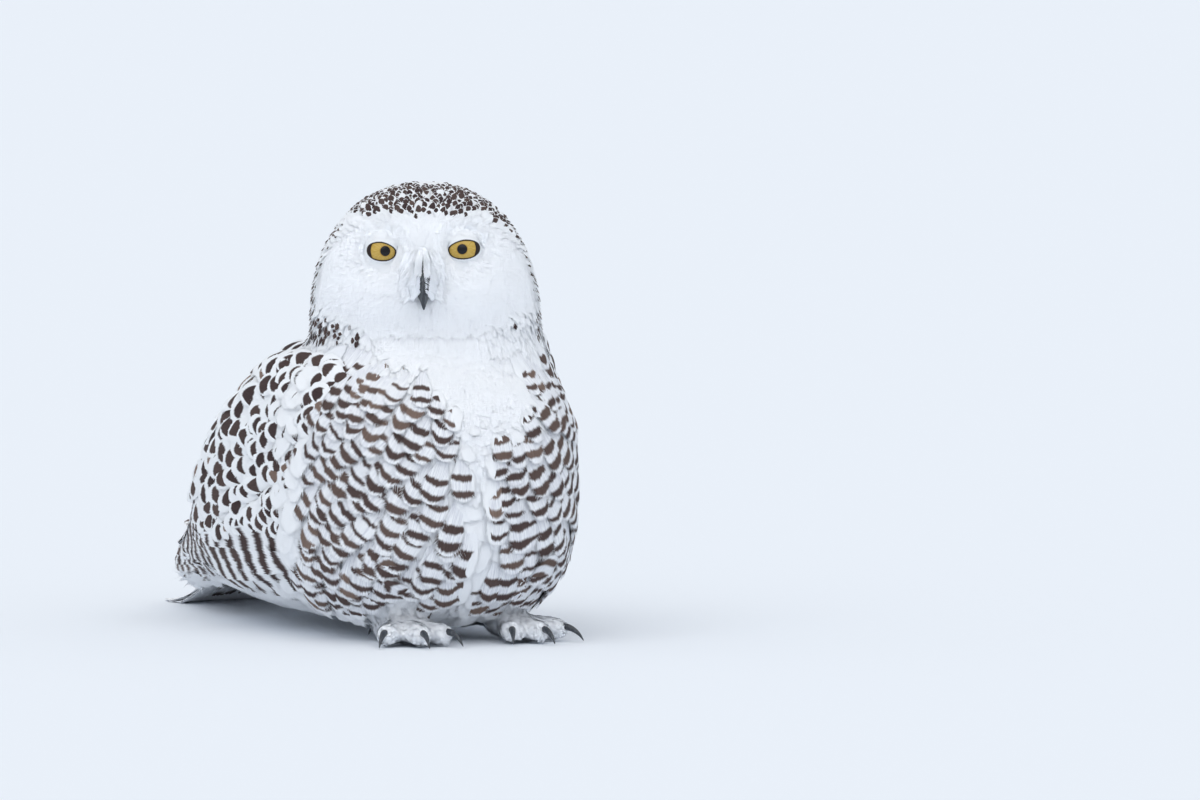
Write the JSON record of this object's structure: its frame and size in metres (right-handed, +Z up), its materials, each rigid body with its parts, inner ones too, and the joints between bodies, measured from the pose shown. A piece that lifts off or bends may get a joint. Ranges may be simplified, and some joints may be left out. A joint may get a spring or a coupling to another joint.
{
  "type": "snowy owl model",
  "caption": "Life-size still model of a snowy owl sitting low on level ground, head turned to its right, wings folded over its back, tail resting behind.",
  "frame": {"origin": "middle of the bounding box's underside, on the floor under the owl's belly", "axes": "+Z up, +Y towards the tail so that the breast faces -Y, +X the owl's own left side"},
  "size_m": [0.2454, 0.5122, 0.3389],
  "materials": {
    "white_plumage": "soft white feathers, faintly blue in the shade",
    "barred_plumage": "white feathers with dark brown bars",
    "black_horn": "smooth slate-black horn",
    "golden_eye": "wet, clear surface over a golden iris and black pupil"
  },
  "bodies": {
    "root": {"trunk": "white_plumage", "neck": "white_plumage", "head": "white_plumage", "wing_left": "barred_plumage", "wing_right": "barred_plumage", "tail": "barred_plumage", "leg_left": "white_plumage", "leg_right": "white_plumage", "foot_left": "white_plumage", "foot_right": "white_plumage", "claw_inner_left": "black_horn", "claw_middle_left": "black_horn", "claw_outer_left": "black_horn", "claw_hind_left": "black_horn", "claw_inner_right": "black_horn", "claw_middle_right": "black_horn", "claw_outer_right": "black_horn", "claw_hind_right": "black_horn", "bill_upper": "black_horn", "bill_lower": "black_horn", "eye_left": "golden_eye", "eye_right": "golden_eye"}
  },
  "joints": []
}
